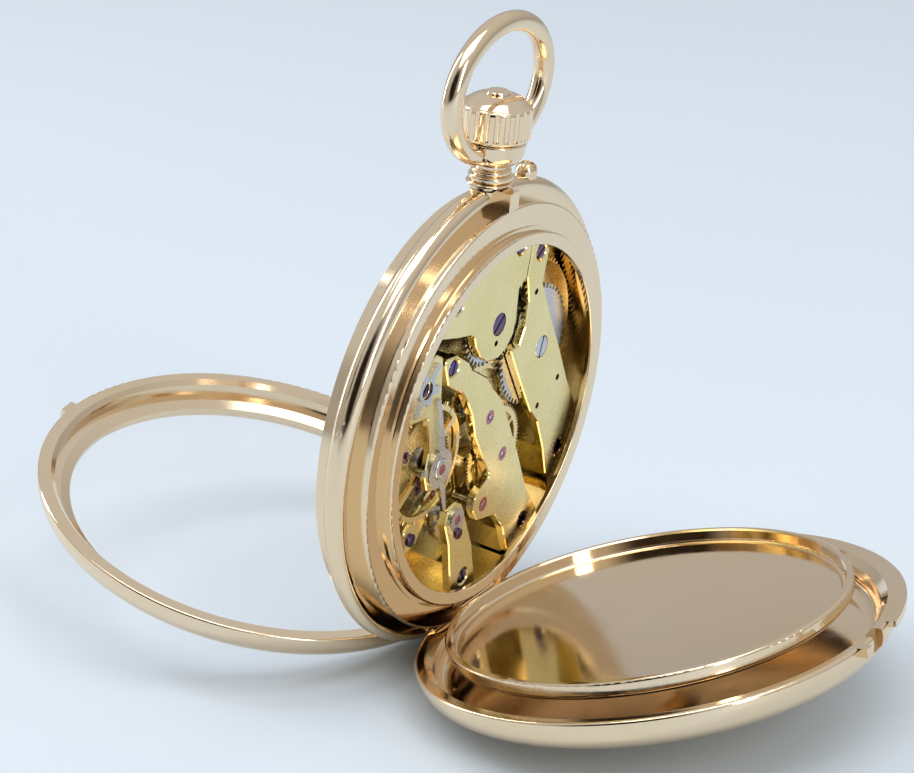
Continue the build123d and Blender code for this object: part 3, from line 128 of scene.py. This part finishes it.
def noise(tree, point, scale, detail=3.0, rough=0.55):
    """Fractal noise from 0 to 1, with its scale in features a metre."""
    texture = add(tree, "ShaderNodeTexNoise")
    texture.inputs["Scale"].default_value = scale
    texture.inputs["Detail"].default_value = detail
    texture.inputs["Roughness"].default_value = rough
    tree.links.new(point, texture.inputs["Vector"])
    return texture.outputs["Fac"]


def spread(tree, value, low, high, low_in=0.3, high_in=0.7):
    """Map a value to the range from low to high, held at its ends."""
    remap = add(tree, "ShaderNodeMapRange")
    remap.inputs["From Min"].default_value = low_in
    remap.inputs["From Max"].default_value = high_in
    remap.inputs["To Min"].default_value = low
    remap.inputs["To Max"].default_value = high
    tree.links.new(value, remap.inputs["Value"])
    return remap.outputs["Result"]


def arithmetic(tree, operation, first, second):
    """Math node on two values, each a number or another node's output."""
    node = add(tree, "ShaderNodeMath", operation=operation)
    for socket, value in zip(node.inputs, (first, second)):
        if isinstance(value, (int, float)):
            socket.default_value = value
        else:
            tree.links.new(value, socket)
    return node.outputs["Value"]


def between(tree, factor, first, second):
    """Mix of two colours."""
    mix = add(tree, "ShaderNodeMix", data_type="RGBA")
    mix.inputs["A"].default_value = (*first, 1)
    mix.inputs["B"].default_value = (*second, 1)
    tree.links.new(factor, mix.inputs["Factor"])
    return mix.outputs["Result"]


def bump(tree, shader, height, depth, strength=1.0):
    """Surface relief, with depth in metres."""
    node = add(tree, "ShaderNodeBump")
    node.inputs["Strength"].default_value = strength
    node.inputs["Distance"].default_value = depth
    tree.links.new(height, node.inputs["Height"])
    tree.links.new(node.outputs["Normal"], shader.inputs["Normal"])


def facing(tree, axis):
    """How far a face is turned to an axis of the object, from 0 to 1, either way round."""
    coordinates = add(tree, "ShaderNodeTexCoord")
    dot = add(tree, "ShaderNodeVectorMath", operation="DOT_PRODUCT")
    dot.inputs[1].default_value = axis
    tree.links.new(coordinates.outputs["Normal"], dot.inputs[0])
    return arithmetic(tree, "ABSOLUTE", dot.outputs["Value"], 0.0)


def rose_gold():
    """Polished case gold: hairline scratches, faint cloudiness and a slow drift of colour."""
    material, tree, shader = start_material("rose_gold", (0.86, 0.68, 0.46), 1.0, 0.1)
    drift = noise(tree, object_point(tree), 60)
    colour = between(tree, spread(tree, drift, 0, 1), (0.85, 0.67, 0.44), (0.87, 0.70, 0.50))
    tree.links.new(colour, shader.inputs["Base Color"])
    scratches = noise(tree, object_point(tree, (1, 9, 1)), 900, 2)
    crossing = noise(tree, object_point(tree, (7, 1, 2)), 700, 2)
    marks = arithmetic(tree, "MULTIPLY", scratches, crossing)
    haze = noise(tree, object_point(tree), 220, 5)
    cloudy = spread(tree, haze, 0.05, 0.13)
    scuffed = spread(tree, marks, 0.0, 0.05, 0.2, 0.45)
    rough = arithmetic(tree, "ADD", cloudy, scuffed)
    tree.links.new(rough, shader.inputs["Roughness"])
    bump(tree, shader, marks, 0.000012, 0.35)
    return material


def gilt_brass():
    """Frosted gilding on the flats and bright bevels round their edges."""
    material, tree, shader = start_material("gilt_brass", (0.86, 0.70, 0.36), 1.0, 0.3)
    point = object_point(tree)
    flat = spread(tree, facing(tree, bench_axis()), 0, 1, FLAT_FROM, FLAT_TO)
    grain = noise(tree, point, 4200, 2)
    drift = noise(tree, point, 180, 3)
    colour = between(tree, spread(tree, drift, 0, 1), (0.80, 0.66, 0.30), (0.88, 0.76, 0.40))
    tree.links.new(colour, shader.inputs["Base Color"])
    frosted = arithmetic(tree, "ADD", spread(tree, grain, 0.24, 0.34), spread(tree, drift, -0.03, 0.04))
    frosting = arithmetic(tree, "MULTIPLY", arithmetic(tree, "SUBTRACT", frosted, 0.1), flat)
    tree.links.new(arithmetic(tree, "ADD", frosting, 0.1), shader.inputs["Roughness"])
    bump(tree, shader, arithmetic(tree, "MULTIPLY", grain, flat), 0.000008, 0.4)
    return material


def wheel_brass():
    """Polished gilt wheels with a fine straight grain."""
    material, tree, shader = start_material("wheel_brass", (0.83, 0.64, 0.32), 1.0, 0.2)
    grain = noise(tree, object_point(tree, (1, 1, 14)), 1600, 2)
    tree.links.new(spread(tree, grain, 0.12, 0.26), shader.inputs["Roughness"])
    colour = between(tree, spread(tree, grain, 0, 1), (0.80, 0.60, 0.28), (0.86, 0.69, 0.37))
    tree.links.new(colour, shader.inputs["Base Color"])
    bump(tree, shader, grain, 0.000006, 0.3)
    return material


def steel():
    """Straight-grained flats and polished edges of hardened steel."""
    material, tree, shader = start_material("steel", (0.58, 0.58, 0.60), 1.0, 0.2)
    flat = spread(tree, facing(tree, bench_axis()), 0, 1, FLAT_FROM, FLAT_TO)
    grain = noise(tree, object_point(tree, (1, 1, 22)), 1500, 3)
    cloud = noise(tree, object_point(tree), 260, 3)
    colour = between(tree, spread(tree, cloud, 0, 1), (0.52, 0.53, 0.56), (0.66, 0.65, 0.65))
    tree.links.new(colour, shader.inputs["Base Color"])
    satin = arithmetic(tree, "MULTIPLY", spread(tree, grain, 0.12, 0.26), flat)
    tree.links.new(arithmetic(tree, "ADD", satin, 0.1), shader.inputs["Roughness"])
    bump(tree, shader, arithmetic(tree, "MULTIPLY", grain, flat), 0.00001, 0.35)
    return material


def snailed_steel(name, node):
    """Steel wheel with rings turned round its centre."""
    material, tree, shader = start_material(name, (0.56, 0.57, 0.60), 1.0, 0.25)
    low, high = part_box(node)
    coordinates = add(tree, "ShaderNodeTexCoord")
    offset = add(tree, "ShaderNodeVectorMath", operation="SUBTRACT")
    offset.inputs[1].default_value = (Vector(low) + Vector(high)) / 2
    tree.links.new(coordinates.outputs["Object"], offset.inputs[0])
    length = add(tree, "ShaderNodeVectorMath", operation="LENGTH")
    tree.links.new(offset.outputs["Vector"], length.inputs[0])
    rings = add(tree, "ShaderNodeTexNoise", noise_dimensions="1D")
    rings.inputs["Scale"].default_value = 5200
    rings.inputs["Detail"].default_value = 3
    tree.links.new(length.outputs["Value"], rings.inputs["W"])
    tree.links.new(spread(tree, rings.outputs["Fac"], 0.16, 0.36), shader.inputs["Roughness"])
    bump(tree, shader, rings.outputs["Fac"], 0.000012, 0.4)
    return material


def blued_steel():
    """Heat-blued steel that runs from violet-brown to blue, with polished tops."""
    material, tree, shader = start_material("blued_steel", (0.13, 0.08, 0.14), 1.0, 0.14)
    temper = noise(tree, object_point(tree), 300, 2)
    colour = between(tree, spread(tree, temper, 0, 1), (0.17, 0.07, 0.09), (0.09, 0.07, 0.20))
    tree.links.new(colour, shader.inputs["Base Color"])
    grain = noise(tree, object_point(tree, (1, 1, 16)), 2600, 2)
    tree.links.new(spread(tree, grain, 0.1, 0.2), shader.inputs["Roughness"])
    return material


def ruby():
    """Synthetic ruby: deep red with a clear polish and a few darker clouds."""
    material, tree, shader = start_material("ruby", (0.50, 0.02, 0.09), 0.0, 0.04)
    shader.inputs["Transmission Weight"].default_value = 0.45
    shader.inputs["IOR"].default_value = 1.76
    shader.inputs["Coat Weight"].default_value = 0.6
    shader.inputs["Coat Roughness"].default_value = 0.03
    cloud = noise(tree, object_point(tree), 1400, 2)
    colour = between(tree, spread(tree, cloud, 0, 1), (0.36, 0.01, 0.06), (0.72, 0.05, 0.16))
    tree.links.new(colour, shader.inputs["Base Color"])
    return material


def enamel():
    """Fired white enamel: a warm white with orange-peel too faint to see but in highlights."""
    material, tree, shader = start_material("enamel", (0.86, 0.85, 0.80), 0.0, 0.18)
    shader.inputs["Coat Weight"].default_value = 1.0
    shader.inputs["Coat Roughness"].default_value = 0.04
    cloud = noise(tree, object_point(tree), 90, 3)
    colour = between(tree, spread(tree, cloud, 0, 1), (0.84, 0.83, 0.78), (0.88, 0.87, 0.83))
    tree.links.new(colour, shader.inputs["Base Color"])
    peel = noise(tree, object_point(tree), 700, 2)
    bump(tree, shader, peel, 0.00001, 0.2)
    return material


def black_enamel():
    """Painted numerals, slightly uneven as the colour lies over the white."""
    material, tree, shader = start_material("black_enamel", (0.012, 0.012, 0.014), 0.0, 0.3)
    uneven = noise(tree, object_point(tree), 1200, 3)
    tree.links.new(spread(tree, uneven, 0.22, 0.4), shader.inputs["Roughness"])
    return material


def crystal_glass():
    """Clear watch glass, with a few fine scratches from wear."""
    material, tree, shader = start_material("crystal_glass", (0.96, 0.98, 1.0), 0.0, 0.02)
    shader.inputs["IOR"].default_value = 1.5
    shader.inputs["Alpha"].default_value = 0.06
    scratches = noise(tree, object_point(tree, (1, 8, 1)), 500, 2)
    tree.links.new(spread(tree, scratches, 0.01, 0.06), shader.inputs["Roughness"])
    return material


def stage_material():
    """Plain pale paper under the watch."""
    material, tree, shader = start_material("paper", (0.70, 0.78, 0.87), 0.0, 0.6)
    shader.inputs["Specular IOR Level"].default_value = 0.2
    tone = noise(tree, object_point(tree), 5, 2)
    colour = between(tree, spread(tree, tone, 0, 1), (0.69, 0.775, 0.865), (0.71, 0.79, 0.875))
    tree.links.new(colour, shader.inputs["Base Color"])
    return material


def paint_nodes():
    """Give every CAD node the finish of its material slot, and the turned wheels their own."""
    finishes = {
        "rose_gold": rose_gold(),
        "gilt_brass": gilt_brass(),
        "wheel_brass": wheel_brass(),
        "steel": steel(),
        "blued_steel": blued_steel(),
        "ruby": ruby(),
        "enamel": enamel(),
        "crystal_glass": crystal_glass(),
    }
    turned = ("ratchet_wheel", "crown_wheel", "micrometer_plate")
    for part in frame["record"]["subparts"]:
        name = part["node"]
        finish = finishes[part["material_slot"]]
        if name in turned:
            finish = snailed_steel("snailed_" + name, name)
        mesh = frame["nodes"][name].data
        mesh.materials.clear()
        mesh.materials.append(finish)


# ---------------------------------------------------------------- dial printing


def add_stroke(work, corners):
    """Thin raised block with the given four corners, standing on the dial's face."""
    low = [work.verts.new((x, y, DIAL_FACE)) for x, y in corners]
    high = [work.verts.new((x, y, DIAL_FACE - PRINT_THICK)) for x, y in corners]
    work.faces.new(high)
    work.faces.new(low[::-1])
    for i in range(len(corners)):
        after = (i + 1) % len(corners)
        work.faces.new((low[i], low[after], high[after], high[i]))


def turned_points(points, degrees, radius, centre):
    """Points of a mark written at the top of the dial, turned clockwise as the dial is read."""
    turn = math.radians(degrees)
    out = []
    for x, y in points:
        height = radius + y
        across = -x
        out.append((
            centre[0] + across * math.cos(turn) - height * math.sin(turn),
            centre[1] - across * math.sin(turn) - height * math.cos(turn),
        ))
    return out


def bar(x_low, x_high, width):
    """Slanted stroke from the foot at x_low to the head at x_high."""
    half = width / 2
    foot = -NUMERAL_HEIGHT / 2
    head = NUMERAL_HEIGHT / 2
    return [(x_low - half, foot), (x_low + half, foot), (x_high + half, head), (x_high - half, head)]


def numeral_strokes(text):
    """Strokes of a Roman number set on a line, centred on zero."""
    at = -sum(LETTER_WIDTH[letter] for letter in text) / 2
    strokes = []
    for letter in text:
        middle = at + LETTER_WIDTH[letter] / 2
        if letter == "I":
            strokes.append(bar(middle, middle, STROKE))
        if letter == "V":
            strokes.append(bar(middle, middle - LETTER_REACH, STROKE))
            strokes.append(bar(middle + 0.08, middle + LETTER_REACH, HAIRLINE))
        if letter == "X":
            strokes.append(bar(middle + LETTER_REACH, middle - LETTER_REACH, STROKE))
            strokes.append(bar(middle - LETTER_REACH, middle + LETTER_REACH, HAIRLINE))
        at += LETTER_WIDTH[letter]
    top = NUMERAL_HEIGHT / 2
    end = -at
    for level in (-top, top):
        strokes.append([
            (end, level - HAIRLINE / 2), (-end, level - HAIRLINE / 2),
            (-end, level + HAIRLINE / 2), (end, level + HAIRLINE / 2)])
    return strokes


def tick(length, width):
    """Mark that hangs down from a track's outer edge."""
    return [(-width / 2, -length), (width / 2, -length), (width / 2, 0), (-width / 2, 0)]


def dial_printing():
    """Roman hours, the minute track and the seconds track, as thin raised enamel."""
    work = bmesh.new()
    for hour, text in enumerate(ROMANS):
        if text == "VI":
            continue
        for stroke in numeral_strokes(text):
            add_stroke(work, turned_points(stroke, 360 / len(ROMANS) * hour, NUMERAL_R, (0, 0)))
    for minute in range(SIXTIETHS):
        bold = minute % 5 == 0
        mark = tick(TRACK_LENGTH, 0.3 if bold else HAIRLINE)
        add_stroke(work, turned_points(mark, 360 / SIXTIETHS * minute, TRACK_R, (0, 0)))
        mark = tick(0.8 if bold else 0.45, 0.12 if bold else 0.07)
        add_stroke(work, turned_points(mark, 360 / SIXTIETHS * minute, SECONDS_TRACK_R, SECONDS_AT))
    mesh = bpy.data.meshes.new("dial_printing")
    bmesh.ops.recalc_face_normals(work, faces=work.faces)
    work.to_mesh(mesh)
    work.free()
    mesh.transform(bench_place())
    mesh.materials.append(black_enamel())
    piece = bpy.data.objects.new("dial_printing", mesh)
    bpy.context.scene.collection.objects.link(piece)
    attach(piece, "case")


# ---------------------------------------------------------------- stage


def make_floor():
    """Large flat sheet for the watch to stand on."""
    half = FLOOR_HALF
    mesh = bpy.data.meshes.new("floor")
    corners = [(-half, -half, 0), (half, -half, 0), (half, half, 0), (-half, half, 0)]
    mesh.from_pydata(corners, [], [(0, 1, 2, 3)])
    mesh.materials.append(stage_material())
    floor = bpy.data.objects.new("floor", mesh)
    bpy.context.scene.collection.objects.link(floor)


def soft_light(name, place, aim, size, power, colour):
    """Rectangular soft box at a place, turned to a point; all in metres."""
    data = bpy.data.lights.new(name, "AREA")
    data.shape = "RECTANGLE"
    data.size, data.size_y = size
    data.energy = power
    data.color = colour
    light = bpy.data.objects.new(name, data)
    light.location = place
    light.rotation_euler = (Vector(aim) - Vector(place)).to_track_quat("-Z", "Y").to_euler()
    bpy.context.scene.collection.objects.link(light)


def make_lights():
    """Wide soft box overhead and a narrow one on each side for long highlights."""
    soft_light("overhead", (0.1, 0.1, 0.75), LIGHT_AIM, (0.7, 0.5), 2.3, (1.0, 0.99, 0.97))
    soft_light("left_strip", (0.05, -0.6, 0.3), LIGHT_AIM, (0.1, 0.6), 1.5, (1.0, 0.98, 0.95))
    soft_light("right_strip", (0.3, 0.65, 0.35), LIGHT_AIM, (0.12, 0.6), 1.5, (1.0, 0.98, 0.95))


def make_world():
    """Bright ceiling and a darker horizon, which the polished gold needs for its dark bands."""
    world = bpy.data.worlds.new("studio")
    bpy.context.scene.world = world
    world.use_nodes = True
    tree = world.node_tree
    coordinates = add(tree, "ShaderNodeTexCoord")
    split = add(tree, "ShaderNodeSeparateXYZ")
    ramp = add(tree, "ShaderNodeValToRGB")
    tree.links.new(coordinates.outputs["Generated"], split.inputs["Vector"])
    tree.links.new(split.outputs["Z"], ramp.inputs["Fac"])
    ramp.color_ramp.elements[0].position = 0.02
    ramp.color_ramp.elements[0].color = (0.62, 0.61, 0.61, 1)
    ramp.color_ramp.elements[1].position = 0.6
    ramp.color_ramp.elements[1].color = (0.95, 0.97, 1.0, 1)
    towards = add(tree, "ShaderNodeVectorMath", operation="DOT_PRODUCT")
    towards.inputs[1].default_value = Vector(DARK_SIDE).normalized()
    tree.links.new(coordinates.outputs["Generated"], towards.inputs[0])
    shade = add(tree, "ShaderNodeMix", data_type="RGBA")
    shade.inputs["B"].default_value = (0.03, 0.025, 0.02, 1)
    tree.links.new(ramp.outputs["Color"], shade.inputs["A"])
    tree.links.new(spread(tree, towards.outputs["Value"], 0, 1, 0.80, 0.93), shade.inputs["Factor"])
    tree.links.new(shade.outputs["Result"], tree.nodes["Background"].inputs["Color"])
    tree.nodes["Background"].inputs["Strength"].default_value = 0.66


def make_camera():
    """Camera of the main view."""
    data = bpy.data.cameras.new("camera")
    data.sensor_width = SENSOR_WIDTH
    data.lens = CAMERA_LENS
    data.clip_start = 0.01
    data.clip_end = 10.0
    camera = bpy.data.objects.new("camera", data)
    camera.location = Vector(CAMERA_AT) * MM
    look = Vector(CAMERA_AIM) - Vector(CAMERA_AT)
    turn = look.to_track_quat("-Z", "Y").to_matrix() @ Matrix.Rotation(math.radians(CAMERA_ROLL), 3, "Z")
    camera.rotation_euler = turn.to_euler()
    bpy.context.scene.collection.objects.link(camera)
    bpy.context.scene.camera = camera
    bpy.context.scene.view_settings.view_transform = "Standard"


# ---------------------------------------------------------------- scene


paint_nodes()
dial_printing()
make_floor()
make_lights()
make_world()
make_camera()
